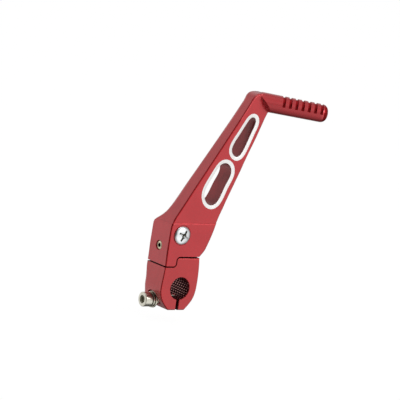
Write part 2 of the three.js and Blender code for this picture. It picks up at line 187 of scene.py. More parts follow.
def baked(ob):
    dg = bpy.context.evaluated_depsgraph_get()
    me = bpy.data.meshes.new_from_object(ob.evaluated_get(dg))
    ob.modifiers.clear()
    ob.data = me
    return ob


def boolean(a, b, op="DIFFERENCE", solver="MANIFOLD"):
    before = len(a.data.polygons)
    m = a.modifiers.new("b", "BOOLEAN")
    m.object, m.operation, m.solver = b, op, solver
    bpy.context.view_layer.update()
    baked(a)
    if len(a.data.polygons) == 0:
        raise RuntimeError(f"empty result of {op} (before: {before} faces)")
    bpy.data.objects.remove(b)
    return a


def cut(a, *others):
    for o in others:
        boolean(a, o, "DIFFERENCE")
    return a


def join(a, *others):
    for o in others:
        boolean(a, o, "UNION")
    return a


def clean(ob, angle=0.25, dist=2e-3):
    bm = bmesh.new()
    bm.from_mesh(ob.data)
    bmesh.ops.remove_doubles(bm, verts=bm.verts, dist=dist)
    bmesh.ops.dissolve_degenerate(bm, edges=bm.edges, dist=dist)
    bmesh.ops.dissolve_limit(bm, angle_limit=math.radians(angle), verts=bm.verts, edges=bm.edges)
    bm.to_mesh(ob.data)
    bm.free()
    return ob


def bevel_edges(ob, test, radius, segments=3, min_angle=30.0, profile=0.5):
    """rounds the convex edges that test(a, b, edge) picks"""
    bm = bmesh.new()
    bm.from_mesh(ob.data)
    bm.normal_update()
    chosen = []
    for e in bm.edges:
        if len(e.link_faces) != 2 or not e.is_convex:
            continue
        if e.calc_face_angle(0.0) < math.radians(min_angle):
            continue
        a, b = e.verts[0].co, e.verts[1].co
        if test(a, b, e):
            chosen.append(e)
    if chosen:
        bmesh.ops.bevel(bm, geom=chosen, offset=radius, offset_type="OFFSET", segments=segments, profile=profile,
                        affect="EDGES", clamp_overlap=True, loop_slide=True, miter_outer="SHARP", miter_inner="SHARP")
        bmesh.ops.remove_doubles(bm, verts=bm.verts, dist=1e-3)
        bmesh.ops.dissolve_degenerate(bm, edges=bm.edges, dist=1e-3)
    bm.to_mesh(ob.data)
    bm.free()
    return len(chosen)


def arc(cx, cy, r, a0, a1, n):
    return [(cx + r * math.cos(math.radians(a0 + (a1 - a0) * i / n)),
             cy + r * math.sin(math.radians(a0 + (a1 - a0) * i / n))) for i in range(n + 1)]


def catmull(points, n, closed=False):
    """points along a centripetal Catmull-Rom curve, evenly spaced along its length"""
    pts = [Vector((p[0], p[1], 0)) for p in points]
    m = len(pts)

    def at(i):
        if closed:
            return pts[i % m]
        if i < 0:
            return pts[0] * 2 - pts[1]
        if i >= m:
            return pts[-1] * 2 - pts[-2]
        return pts[i]

    dense = []
    for i in range(m if closed else m - 1):
        p0, p1, p2, p3 = at(i - 1), at(i), at(i + 1), at(i + 2)
        t0 = 0.0
        t1 = t0 + (p1 - p0).length ** 0.5
        t2 = t1 + (p2 - p1).length ** 0.5
        t3 = t2 + (p3 - p2).length ** 0.5
        for k in range(24):
            t = t1 + (t2 - t1) * k / 24
            a1 = p0 * ((t1 - t) / (t1 - t0)) + p1 * ((t - t0) / (t1 - t0))
            a2 = p1 * ((t2 - t) / (t2 - t1)) + p2 * ((t - t1) / (t2 - t1))
            a3 = p2 * ((t3 - t) / (t3 - t2)) + p3 * ((t - t2) / (t3 - t2))
            b1 = a1 * ((t2 - t) / (t2 - t0)) + a2 * ((t - t0) / (t2 - t0))
            b2 = a2 * ((t3 - t) / (t3 - t1)) + a3 * ((t - t1) / (t3 - t1))
            dense.append(b1 * ((t2 - t) / (t2 - t1)) + b2 * ((t - t1) / (t2 - t1)))
    dense.append(pts[0].copy() if closed else pts[-1].copy())
    acc = [0.0]
    for a, b in zip(dense, dense[1:]):
        acc.append(acc[-1] + (b - a).length)
    out, j = [], 0
    count = n if closed else n + 1
    for i in range(count):
        s = acc[-1] * i / n
        while j < len(acc) - 2 and acc[j + 1] < s:
            j += 1
        d = acc[j + 1] - acc[j]
        f = (s - acc[j]) / d if d > 1e-12 else 0
        p = dense[j].lerp(dense[j + 1], f)
        out.append((p.x, p.y))
    return out


def smoothed(loop, rounds=2):
    """a closed loop of evenly spaced points with its small wobbles averaged out"""
    n = len(loop)
    for _ in range(rounds):
        loop = [tuple((loop[i - 1][k] + 2 * loop[i][k] + loop[(i + 1) % n][k]) / 4 for k in range(2)) for i in range(n)]
    return loop


def offset_loop(loop, d):
    """a closed loop moved outward by d"""
    n = len(loop)
    area = sum(loop[i][0] * loop[(i + 1) % n][1] - loop[(i + 1) % n][0] * loop[i][1] for i in range(n))
    s = 1.0 if area > 0 else -1.0
    out = []
    for i in range(n):
        a, b = loop[i - 1], loop[(i + 1) % n]
        t = Vector((b[0] - a[0], b[1] - a[1])).normalized()
        out.append((loop[i][0] + t.y * d * s, loop[i][1] - t.x * d * s))
    return out


def hexagon(af, turn=0.0):
    r = af / math.sqrt(3)
    return [(r * math.cos(math.radians(60 * i + turn)), r * math.sin(math.radians(60 * i + turn))) for i in range(6)]


# ------------------------------------------------------------------ outlines, front view (x, z)
BOSS = ([(14.0, 22.6)]
        + catmull([(14.55, 18), (14.9, 14), (15.05, 10), (15.1, 6.4), (15.0, 2.7), (14.75, -1.1), (14.0, -5),
                   (12.4, -8.8), (9.6, -12.6)], 34)
        + [(7.0, -15.4), (6.3, BOTTOM_Z), (-7.6, BOTTOM_Z), (-8.8, -15.3)]
        + catmull([(-10.8, -13.2), (-13.4, -10.2), (-15.4, -6.5), (-16.4, -3), (-16.6, 0.6), (-16.3, 5), (-15.8, 10),
                   (-15.45, 15.45)], 34)
        + [(-15.35, 22.6)])
HEAD = ([(-15.0, 10)]
        + catmull([(-15.3, 16.5), (-15.35, 22), (-15.45, 28.5), (-15.3, 35), (-15.1, 42), (-14.9, 45.6)], 16)
        + catmull([(-14.6, 47.1), (-13.9, 48.2), (-12.8, HEAD_TOP)], 4)
        + [(24.8, HEAD_TOP)]
        + catmull([(23.6, 43.9), (22.4, 40), (21.1, 36.2), (19.6, 32.4), (18.1, 28.8), (16.3, 26.2), (14.7, 24.4),
                   (13.6, 23.0)], 22)
        + [(13.4, 10)])
ARM = ([(-13.6, 45.0)]
       + catmull([(-14.2, 47.0), (-13.6, 48.6), (-12.3, 51.3), (-10.7, 54.0)], 6)
       + catmull([(-8.3, 57.9), (-3.75, 65.3), (0.65, 72.75), (5.2, 80.2), (9.8, 87.65), (14.4, 95.15),
                  (19.0, 102.65), (23.55, 110.15), (28.1, 117.7), (32.6, 125.2), (37.0, 132.8), (40.4, 138.8)], 12)
       + catmull([(41.2, 140.4), (42.1, 141.7), (43.2, 143.1), (44.6, 144.3), (46.4, 145.2)], 8)
       + [(49.0, 145.65), (53.0, 145.6)]
       + catmull([(56.2, 144.6), (58.3, 142.6), (59.0, 140.4)], 5)
       + catmull([(57.4, 132.5), (56.1, 130.0), (54.7, 126.2), (51.95, 118.8), (49.15, 111.2), (46.0, 103.7),
                  (42.95, 96.2), (40.2, 88.65), (37.25, 81.15), (34.25, 73.65), (31.25, 66.15), (28.5, 58.65),
                  (26.6, 53.9), (24.7, 48.0), (23.8, 45.0)], 18))
SLOT_LOW = smoothed(catmull([(17.9, 61.4), (13.7, 62.9), (11.1, 66.2), (10.2, 70.6), (11.6, 75.6), (15.2, 82.2),
                             (19.1, 89.2), (21.9, 92.5), (25.5, 93.4), (29.0, 92.1), (31.2, 89.0), (31.6, 85.3),
                             (30.2, 81.2), (28.1, 77.0), (26.2, 72.0), (24.2, 66.8), (21.7, 63.0)], 96, True), 8)
SLOT_HIGH = smoothed(catmull([(34.0, 97.7), (30.6, 99.6), (28.9, 103.0), (30.0, 107.4), (34.4, 114.9), (38.6, 122.1),
                              (41.5, 126.6), (44.2, 128.0), (46.5, 126.8), (47.1, 123.6), (44.5, 116.2),
                              (40.9, 106.5), (38.2, 100.5), (36.3, 98.4)], 96, True), 6)


def back_of(z):
    return YF + 17.4 - (z - 50) * 0.045


SIDE = ([(YF - 1, 0), (0, 0)]
        + catmull([(0, 44.0), (-0.25, 45.6), (-1.0, 47.0), (-2.2, 48.3), (-3.6, 49.9), (-4.9, 52.0), (-6.0, 55.0),
                   (back_of(60), 60)], 26)
        + [(back_of(150), 150), (YF - 1, 150)])


def side_y(z):
    """how far back the lever reaches at a height"""
    pts = SIDE[1:-1]
    for a, b in zip(pts, pts[1:]):
        if a[1] <= z <= b[1] and b[1] > a[1]:
            return a[0] + (b[0] - a[0]) * (z - a[1]) / (b[1] - a[1])
    return pts[-1][0]


# ------------------------------------------------------------------ clamp boss
def pivot_dirs(angle):
    """distance direction and tangent, seen from above, for an arm folded by angle"""
    a = math.radians(angle)
    d = Vector((-math.cos(a), math.sin(a), 0))
    t = Vector((math.sin(a), math.cos(a), 0))
    return d, t


def stop_section(gap, top=60.0):
    pts = [(STOP_D - 2.0, top), (STOP_D - 2.0, BLOCK_Z + gap)]
    pts += arc(STOP_D - 2.0, BLOCK_Z - 2.0, 2.0 + gap, 90, 0, 8)[1:]
    pts += arc(STOP_D + 3.0, SHOULDER_Z + 3.0, 3.0 - gap, 180, 270, 10)
    pts += [(70, SHOULDER_Z + gap), (70, top)]
    return pts


def build_boss():
    boss = prism_y(BOSS, YF, 0)
    bevel_edges(boss, lambda a, b, e: (abs(a.y - YF) < 1e-4 and abs(b.y - YF) < 1e-4), 0.95, 5, 30)
    d0, t0 = pivot_dirs(0)
    d1, t1 = pivot_dirs(FOLD)
    up = Vector((0, 0, 1))
    frames = [(PIV - t0 * 60, d0, up)]
    for k in range(0, 25):
        d, _ = pivot_dirs(FOLD * k / 24)
        frames.append((PIV, d, up))
    frames.append((PIV + t1 * 60, d1, up))
    boss = cut(boss, sweep(stop_section(0), frames))
    cut(boss, fillet_cutter(BOSS_LEFT, lambda z: 1.3 + 3.6 * smooth01((14.5 - z) / 13) * smooth01((z + 12.5) / 9),
                            side=lambda z: 0.0))
    clean(boss)
    round_it(boss, 0.45, lambda a, b: min(a.z, b.z) > SHOULDER_Z - 0.4 and min(a.y, b.y) < -1.5)

    spigot = [(0, 15), (SPIGOT_R + 0.5, 15), (SPIGOT_R + 0.5, BLOCK_Z - 0.001), (SPIGOT_R, BLOCK_Z + 0.5),
              (SPIGOT_R, SCREW_Z - 3.35)]
    spigot = [(0, 15), (SPIGOT_R, 15), (SPIGOT_R, SCREW_Z - 3.5), (SPIGOT_R - 0.15, SCREW_Z - 3.35),
              (4.9, SCREW_Z - 3.35), (4.65, SCREW_Z - 3.1), (4.65, SCREW_Z + 3.1), (4.9, SCREW_Z + 3.35),
              (SPIGOT_R - 0.15, SCREW_Z + 3.35), (SPIGOT_R, SCREW_Z + 3.5), (SPIGOT_R, SPIGOT_TOP - 0.6),
              (SPIGOT_R - 0.6, SPIGOT_TOP), (0, SPIGOT_TOP)]
    spigot = lathe(spigot, PIV, (0, 0, 1), 96)
    ring = arc(PIV.x - BALL_X, DET_Z, BALL_R + 0.3, 0, 360, 28)
    ring[-1] = ring[0]
    cut(spigot, lathe(ring, PIV, (0, 0, 1), 96))
    join(boss, spigot)

    # bolt hole, spot face and slot
    cut(boss, rod(BOLT_R + 0.8, (-30, BOLT_Y, BOLT_Z), (30, BOLT_Y, BOLT_Z), 48))
    spot = [(0, 0), (7.4, 0), (7.4, 4.6), (7.0, 5.0), (7.0, 9.1), (6.7, 9.4), (0, 9.4)]
    cut(boss, lathe([(0, 0), (7.0, 0), (7.0, 9.1), (6.7, 9.4), (0, 9.4)], (-20, BOLT_Y, BOLT_Z), (1, 0, 0), 72))
    cut(boss, spline_cutter())
    cut(boss, box(SLOT_X0, SLOT_X1, YF - 1, 1, BOTTOM_Z - 1, -6))
    # small broken edges along the slot mouth
    for y, s in ((YF, 1), (0.0, -1)):
        w = 0.35
        pts = [(SLOT_X0 - w, y - s * 0.01), (SLOT_X1 + w, y - s * 0.01), (SLOT_X1, y + s * w), (SLOT_X0, y + s * w)]
        cut(boss, prism(pts, BOTTOM_Z - 1, -7.0, lambda a, b, c: (a, b, c)))
    return boss


def spline_cutter():
    """the splined bore: its teeth are cut across by fine rings, staggered from tooth to tooth, and both mouths are
    broken"""
    w = 2 * math.pi / TEETH
    prof = []
    for i in range(TEETH):
        a = 2 * math.pi * i / TEETH
        for f, q in ((-0.15, 0.0), (0.15, 0.0), (0.32, 0.8), (0.5, 1.0), (0.68, 0.8)):
            prof.append((a + w * f, q, i % 2))
    loops = []

    def loop(y, cone, cut_even, cut_odd):
        pts = []
        for a, q, odd in prof:
            r = BORE_R + (ROOT_R - BORE_R) * q
            if cone is not None:
                r = max(r, cone)
            r += 0.5 * (cut_odd if odd else cut_even) * (1 - q)
            pts.append((r * math.cos(a), r * math.sin(a)))
        return (y, pts)

    loops.append(loop(YF - 1.0, BORE_R + 1.55, 0, 0))
    loops.append(loop(YF, BORE_R + 0.55, 0, 0))
    loops.append(loop(YF + 0.45, BORE_R + 0.15, 0, 0))
    y, half = YF + 0.9, 1.3
    flip = 0
    while y < -2.2:
        loops.append(loop(y, None, flip, 1 - flip))
        loops.append(loop(y + half - 0.16, None, flip, 1 - flip))
        flip = 1 - flip
        y += half
    loops.append(loop(-0.55, BORE_R + 0.2, 0, 0))
    loops.append(loop(0.0, BORE_R + 0.75, 0, 0))
    loops.append(loop(1.0, BORE_R + 1.75, 0, 0))
    return loft_y(loops)


def round_it(ob, r, where, segments=4, min_angle=38.0, skip=None):
    """rounds the outer edges of a plain body"""
    def test(a, b, e):
        if skip and skip(a, b):
            return False
        return where(a, b)
    n = bevel_edges(ob, test, r, segments, min_angle)
    print("rounded", ob.name, n)
    return n


# ------------------------------------------------------------------ lever arm
def build_arm():
    head = prism_y(HEAD, YF, 0)
    bevel_edges(head, lambda a, b, e: (abs(a.y - YF) < 1e-4 and abs(b.y - YF) < 1e-4), 1.35, 5, 30)
    blade = prism_y(ARM, ARM_FRONT, 0.5)
    bevel_edges(blade, lambda a, b, e: (abs(a.y - ARM_FRONT) < 1e-4 and abs(b.y - ARM_FRONT) < 1e-4), 1.3, 5, 30)
    arm = join(head, blade)
    boolean(arm, prism_x(SIDE, -40, 80), "INTERSECT")
    # the long edges at the back are rounded
    cut(arm, fillet_cutter(LEFT_PATH, lambda z: 1.2 + 3.6 * smooth01((z - 44) / 12) - 2.4 * smooth01((z - 139) / 6)))
    cut(arm, fillet_cutter(RIGHT_PATH, lambda z: 1.0 + 2.2 * smooth01((z - 44) / 12)))
    clean(arm)
    return arm


def smooth01(t):
    t = max(0.0, min(1.0, t))
    return t * t * (3 - 2 * t)


def fillet_cutter(path, radius, n=10, side=None):
    """what is outside a rounded edge between the lever's outline (x, z) and its back surface"""
    frames, sections = [], []
    for i, p in enumerate(path):
        a, b = path[max(i - 1, 0)], path[min(i + 1, len(path) - 1)]
        t = Vector((b[0] - a[0], 0, b[1] - a[1])).normalized()
        nrm = Vector((-t.z, 0, t.x))
        frames.append((Vector((p[0], (side or side_y)(p[1]), p[1])), nrm))
        r = radius(p[1])
        pts = [(1.5, 1.5), (-r, 1.5)]
        pts += [(-r + r * math.sin(math.radians(90 * k / n)), -r + r * math.cos(math.radians(90 * k / n)))
                for k in range(n + 1)]
        pts += [(1.5, -r)]
        sections.append(pts)
    m = len(sections[0])
    verts, faces = [], []
    for (o, u), sec in zip(frames, sections):
        verts += [o + u * q[0] + Vector((0, 1, 0)) * q[1] for q in sec]
    for k in range(len(frames) - 1):
        for i in range(m):
            j = (i + 1) % m
            faces.append((k * m + i, k * m + j, (k + 1) * m + j, (k + 1) * m + i))
    faces.append(tuple(range(m)))
    faces.append(tuple((len(frames) - 1) * m + i for i in reversed(range(m))))
    return mesh_object("tmp", verts, faces)


BOSS_LEFT = catmull([(2.0, BOTTOM_Z), (-7.0, BOTTOM_Z), (-8.8, -15.3), (-10.8, -13.2), (-13.4, -10.2), (-15.4, -6.5),
                     (-16.4, -3), (-16.6, 0.6), (-16.3, 5), (-15.8, 10), (-15.45, 15.45), (-15.35, 22.6),
                     (-15.3, 26)], 60)
LEFT_PATH = (catmull([(-15.3, 12), (-15.35, 22), (-15.45, 28.5), (-15.3, 35), (-15.1, 42), (-14.9, 45.6),
                      (-14.4, 47.2), (-13.6, 48.8), (-12.3, 51.3), (-10.7, 54.0), (-8.3, 57.9), (-3.75, 65.3),
                      (0.65, 72.75), (5.2, 80.2), (9.8, 87.65), (14.4, 95.15), (19.0, 102.65), (23.55, 110.15),
                      (28.1, 117.7), (32.6, 125.2), (37.0, 132.8), (40.4, 138.8), (41.2, 140.4), (42.1, 141.7),
                      (43.2, 143.1), (44.6, 144.3), (46.4, 145.2), (49.0, 145.65), (57.0, 145.6)], 90))
RIGHT_PATH = list(reversed(catmull([(13.6, 18.0), (13.6, 23.0), (14.7, 24.4), (16.3, 26.2), (18.1, 28.8),
                                    (19.6, 32.4), (21.1, 36.2), (22.4, 40), (23.6, 43.9), (25.05, 49.4),
                                    (26.6, 53.9), (28.5, 58.65), (31.25, 66.15), (34.25, 73.65), (37.25, 81.15),
                                    (40.2, 88.65), (42.95, 96.2), (46.0, 103.7), (49.15, 111.2), (51.95, 118.8),
                                    (54.7, 126.2), (56.1, 130.0), (57.4, 132.5), (58.7, 136)], 70)))


def build_peg():
    yaw, tilt = math.radians(PEG["yaw"]), math.radians(PEG["tilt"])
    d = Vector((math.sin(yaw) * math.cos(tilt), -math.cos(yaw) * math.cos(tilt), math.sin(tilt)))
    at = Vector((PEG["x"], PEG["y"], PEG["z"]))
    front = d.cross(Vector((0, 0, 1))).normalized()
    up = front.cross(d).normalized()
    rad = lambda s: PEG["r0"] + (PEG["r1"] - PEG["r0"]) * s / 50
    L, r = PEG["end"], 5.0
    prof = [(0, -0.5), (rad(0) - 2.4, -0.5), (rad(0) - 0.9, 0.1), (rad(0), 1.6), (rad(L - r), L - r)]
    prof += [(rad(L - r) - r + r * math.cos(a), L - r + r * math.sin(a))
             for a in [math.pi / 2 * i / 10 for i in range(1, 11)]]
    prof.append((0, L))
    peg = lathe(prof, at, d, 128)
    for i in range(GROOVES):
        s = GROOVE_FIRST + i * GROOVE_PITCH
        w, rr = GROOVE_W / 2, rad(s) - GROOVE_D
        e = 0.25
        ring = [(rr + e, s - w), (10, s - w), (10, s + w), (rr + e, s + w), (rr, s + w - e), (rr, s - w + e),
                (rr + e, s - w)]
        ring = lathe(ring, at - front * GROOVE_SHIFT, d, 128)
        c = at + d * s
        section = [(0, 1.2), (5.0, 1.2), (12, -5.8), (12, 12), (-12, 12), (-12, 1.2)]
        half = sweep(section, [(c - d * 4, front, up), (c + d * 4, front, up)])
        boolean(ring, half, "INTERSECT")
        cut(peg, ring)
    return peg, at, d, front, up


def finish_arm():
    arm = build_arm()
    peg, at, d, front, up = build_peg()
    # the peg's root is flush with the back of the arm, and ends at a milled wall square to the arm's front
    half = prism_x([(-90, 90), (back_of(90), 90), (back_of(180), 180), (-90, 180)], -20, 140)
    boolean(peg, half, "INTERSECT")
    n = Vector((0.795, 0, 0.607))
    t = Vector((0.607, 0, -0.795))
    c = Vector((52.4, 0, 137.75))
    wall = sweep([(-40, 0), (40, 0), (40, -40), (-40, -40)],
                 [(c + Vector((0, -60, 0)), t, n), (c + Vector((0, ARM_FRONT + 0.02, 0)), t, n)])
    cut(peg, wall)
    join(arm, peg)

    for loop in (SLOT_LOW, SLOT_HIGH):
        cut(arm, prism_y(loop, YF - 5, 5))
        outer = offset_loop(loop, RIM_W)
        k = 1.0 / RIM_DROP
        over = offset_loop(loop, RIM_W * 1.2)
        inner = offset_loop(loop, -0.02)
        cut(arm, loft_y([(ARM_FRONT - RIM_DROP * 0.2, over), (ARM_FRONT, outer), (ARM_FRONT + RIM_DROP, inner)]))
        z0 = min(p[1] for p in loop)
        # the same narrow cut along the back, following the taper
        n_ = len(loop)
        verts, faces = [], []
        rows = [(0.1, offset_loop(loop, 0.7)), (0.0, offset_loop(loop, 0.6)), (-0.6, inner)]
        for dy, pts in rows:
            verts += [(p[0], back_of(p[1]) + dy, p[1]) for p in pts]
        for kk in range(2):
            for i in range(n_):
                j = (i + 1) % n_
                faces.append((kk * n_ + i, kk * n_ + j, (kk + 1) * n_ + j, (kk + 1) * n_ + i))
        faces.append(tuple(range(n_)))
        faces.append(tuple(2 * n_ + i for i in reversed(range(n_))))
        cut(arm, mesh_object("tmp", verts, faces))

    # seam with the boss
    d0, t0 = pivot_dirs(0)
    pts = [(-60, -60), (-60, BLOCK_Z + SEAM)]
    pts += arc(STOP_D - 2.0, BLOCK_Z - 2.0, 2.0 + SEAM, 90, 0, 8)
    pts += arc(STOP_D + 3.0, SHOULDER_Z + 3.0, 3.0 - SEAM, 180, 270, 10)
    pts += [(60, SHOULDER_Z + SEAM), (60, -60)]
    up_ = Vector((0, 0, 1))
    cut(arm, sweep(pts, [(PIV - t0 * 60, d0, up_), (PIV + t0 * 60, d0, up_)]))
    cut(arm, lathe([(0, 10), (SPIGOT_R + 0.3, 10), (SPIGOT_R + 0.3, SPIGOT_TOP + 0.3), (0, SPIGOT_TOP + 0.3)],
                   PIV, (0, 0, 1), 96))
    cut(arm, rod(BOLT_R + 0.3, (SCREW_X, YF - 2, SCREW_Z), (SCREW_X, -2.2, SCREW_Z), 48))
    cut(arm, lathe([(0, 0), (8.0, 0), (7.45, 2.0), (7.25, 2.2), (7.25, 2.7), (0, 2.7)], (SCREW_X, YF - 2, SCREW_Z),
                   (0, 1, 0), 96))
    cut(arm, lathe([(0, 0), (4.0, 0), (4.0, 4.3), (3.3, 5.0), (3.3, 9.55), (0, 9.55)], (-20, BOLT_Y, DET_Z), (1, 0, 0), 48))
    cut(arm, rod(2.3, (-12, BOLT_Y, DET_Z), (PIV.x, BOLT_Y, DET_Z), 32))
    return arm


boss = build_boss()
boss.name = "clamp_boss_body"
arm = finish_arm()
arm.name = "lever_arm_body"
for ob in (boss, arm):
    print(ob.name, len(ob.data.polygons), "faces")


# ------------------------------------------------------------------ fasteners
def threaded_rod(r, pitch, x0, x1, y, z, depth=0.55, seg=40, step=8, cone=0.9):
    """a rod along X with a helical thread, its far end tapered"""
    rows = int((x1 - x0) / pitch * step)
    verts, faces = [], []
    for k in range(rows + 1):
        x = x0 + (x1 - x0) * k / rows
        lim = r - max(0.0, cone - (x1 - x))
        for i in range(seg):
            t = 2 * math.pi * i / seg
            ph = ((x - x0) / pitch - i / seg) % 1.0
            tri = abs(ph - 0.5) * 2
            rr = r - depth * min(1.0, max(0.0, (tri - 0.12) / 0.76))
            run_in = min(1.0, (x - x0) / (pitch * 1.5))
            rr = min(r - (r - rr) * run_in, lim)
            verts.append((x, y + rr * math.cos(t), z + rr * math.sin(t)))
    for k in range(rows):
        for i in range(seg):
            j = (i + 1) % seg
            faces.append((k * seg + i, k * seg + j, (k + 1) * seg + j, (k + 1) * seg + i))
    faces.append(tuple(range(seg)))
    faces.append(tuple(rows * seg + i for i in reversed(range(seg))))
    return mesh_object("tmp", verts, faces)


def build_pinch_bolt():
    x0, L, R = -23.3, 6.0, 5.35
    prof = [(0, 0), (3.45, 0), (4.75, 0.12)] + [(R - 0.6 + 0.6 * math.sin(a), 0.72 - 0.6 * math.cos(a)) for a in
                                                [math.pi / 2 * k / 5 for k in range(1, 6)]]
    prof += [(R, L - 0.35), (R - 0.12, L - 0.12), (R - 0.4, L), (0, L)]
    head = lathe(prof, (x0, BOLT_Y, BOLT_Z), (1, 0, 0), 96)
    hexa = [(BOLT_Y + a, BOLT_Z + b) for a, b in hexagon(5.0, 30)]
    cut(head, prism_x(hexa, x0 - 1, x0 + 2.1))
    cut(head, lathe([(0, -0.3), (3.35, -0.3), (2.6, 0.45), (0, 0.45)], (x0, BOLT_Y, BOLT_Z), (1, 0, 0), 48))
    cut(head, lathe([(0, 2.0), (2.3, 2.0), (0, 3.1)], (x0, BOLT_Y, BOLT_Z), (1, 0, 0), 48))
    join(head, rod(BOLT_R - 0.05, (x0 + L - 0.3, BOLT_Y, BOLT_Z), (-15.2, BOLT_Y, BOLT_Z), 64))
    join(head, threaded_rod(BOLT_R, 1.0, -15.4, 6.8, BOLT_Y, BOLT_Z))
    return head


def build_split_washer():
    ri, ro, t = 3.3, 5.6, 1.35
    verts, faces, n = [], [], 90
    cols = []
    for k in range(n + 1):
        a = math.radians(256 + 348 * k / n)
        off = -16.93 + 0.15 * k / n
        e = 0.16
        sec = [(ri + e, off), (ro - e, off), (ro, off + e), (ro, off + t - e), (ro - e, off + t), (ri + e, off + t),
               (ri, off + t - e), (ri, off + e)]
        c0 = len(verts)
        verts += [(x, BOLT_Y + r * math.cos(a), BOLT_Z + r * math.sin(a)) for r, x in sec]
        cols.append(c0)
    for a, b in zip(cols, cols[1:]):
        for i in range(8):
            j = (i + 1) % 8
            faces.append((a + i, a + j, b + j, b + i))
    faces.append(tuple(cols[0] + i for i in range(8)))
    faces.append(tuple(cols[-1] + i for i in reversed(range(8))))
    return mesh_object("tmp", verts, faces)


def build_flat_washer():
    ri, ro, x0, x1, e = 3.35, 6.1, -15.0, -13.6, 0.18
    prof = [(ri + e, 0), (ro - e * 2, 0), (ro - e * 0.6, e * 0.5), (ro, e * 1.5), (ro, x1 - x0 - e), (ro - e, x1 - x0),
            (ri + e, x1 - x0), (ri, x1 - x0 - e), (ri, e), (ri + e, 0)]
    return lathe(prof, (x0, BOLT_Y, BOLT_Z), (1, 0, 0), 96)


def build_retaining_screw():
    H, R = 2.9, 6.8
    y0 = YF + 0.4 - H
    prof = [(0, 0)]
    for k in range(1, 17):
        a = math.pi / 2 * k / 16 * 0.97
        prof.append((R * math.sin(a), 2.42 * (1 - math.cos(a))))
    prof += [(R, 2.5), (R, H - 0.15), (R - 0.2, H), (BOLT_R + 0.25, H), (BOLT_R - 0.05, H + 0.3), (BOLT_R - 0.05, 22.0),
             (BOLT_R - 0.8, 22.8), (0, 22.8)]
    screw = lathe(prof, (SCREW_X, y0, SCREW_Z), (0, 1, 0), 128)
    turn = math.radians(-28)
    for q in (0, 1):
        c, sn = math.cos(turn + q * math.pi / 2), math.sin(turn + q * math.pi / 2)
        loops = []
        for y, hl, hw in ((y0 - 0.6, 4.7, 0.9), (y0 + 0.9, 4.2, 0.7), (y0 + 2.6, 1.9, 0.55), (y0 + 3.4, 1.0, 0.4)):
            pts = [(-hl, -hw), (hl, -hw), (hl, hw), (-hl, hw)]
            loops.append((y, [(SCREW_X + c * a - sn * b, SCREW_Z + sn * a + c * b) for a, b in pts]))
        cut(screw, loft_y(loops))
    cut(screw, lathe([(0, -0.6), (2.1, -0.6), (1.5, 1.0), (0, 3.6)], (SCREW_X, y0, SCREW_Z), (0, 1, 0), 48))
    return screw


def build_set_screw():
    x0 = -15.1
    body = threaded_rod(3.0, 0.75, x0 + 0.45, x0 + 3.9, BOLT_Y, DET_Z, depth=0.4, step=10, cone=0.7)
    join(body, lathe([(0, 0), (2.3, 0), (2.95, 0.3), (2.95, 0.6), (0, 0.6)], (x0, BOLT_Y, DET_Z), (1, 0, 0), 64))
    cut(body, prism_x([(BOLT_Y + a, DET_Z + b) for a, b in hexagon(3.0, 0)], x0 - 1, x0 + 2.4))
    cut(body, lathe([(0, -0.2), (2.0, -0.2), (1.55, 0.3), (0, 0.3)], (x0, BOLT_Y, DET_Z), (1, 0, 0), 48))
    return body


# ------------------------------------------------------------------ materials
def shader(name):
    m = bpy.data.materials.new(name)
    m.use_nodes = True
    nt = m.node_tree
    return m, nt, nt.nodes["Principled BSDF"]


def noise(nt, coord, scale, detail=4.0, rough=0.6, stretch=None):
    if stretch:
        mp = nt.nodes.new("ShaderNodeMapping")
        mp.inputs["Scale"].default_value = stretch
        nt.links.new(coord, mp.inputs["Vector"])
        coord = mp.outputs["Vector"]
    t = nt.nodes.new("ShaderNodeTexNoise")
    t.inputs["Scale"].default_value = scale
    t.inputs["Detail"].default_value = detail
    t.inputs["Roughness"].default_value = rough
    nt.links.new(coord, t.inputs["Vector"])
    return t.outputs["Fac"]


def ranged(nt, value, lo, hi, a=0.3, b=0.7):
    mr = nt.nodes.new("ShaderNodeMapRange")
    mr.inputs["From Min"].default_value, mr.inputs["From Max"].default_value = a, b
    mr.inputs["To Min"].default_value, mr.inputs["To Max"].default_value = lo, hi
    nt.links.new(value, mr.inputs["Value"])
    return mr.outputs["Result"]


def mixed(nt, fac, c0, c1):
    mx = nt.nodes.new("ShaderNodeMix")
    mx.data_type = "RGBA"
    nt.links.new(fac, mx.inputs["Factor"])
    for sock, c in ((mx.inputs["A"], c0), (mx.inputs["B"], c1)):
        pass
    for sock, c in zip([i for i in mx.inputs if i.type == "RGBA"], (c0, c1)):
        if isinstance(c, tuple):
            sock.default_value = (*c, 1)
        else:
            nt.links.new(c, sock)
    return [o for o in mx.outputs if o.type == "RGBA"][0]


def bumped(nt, bsdf, height, strength, distance):
    b = nt.nodes.new("ShaderNodeBump")
    b.inputs["Strength"].default_value = strength
    b.inputs["Distance"].default_value = distance
    nt.links.new(height, b.inputs["Height"])
    nt.links.new(b.outputs["Normal"], bsdf.inputs["Normal"])


def object_coord(nt):
    return nt.nodes.new("ShaderNodeTexCoord").outputs["Object"]


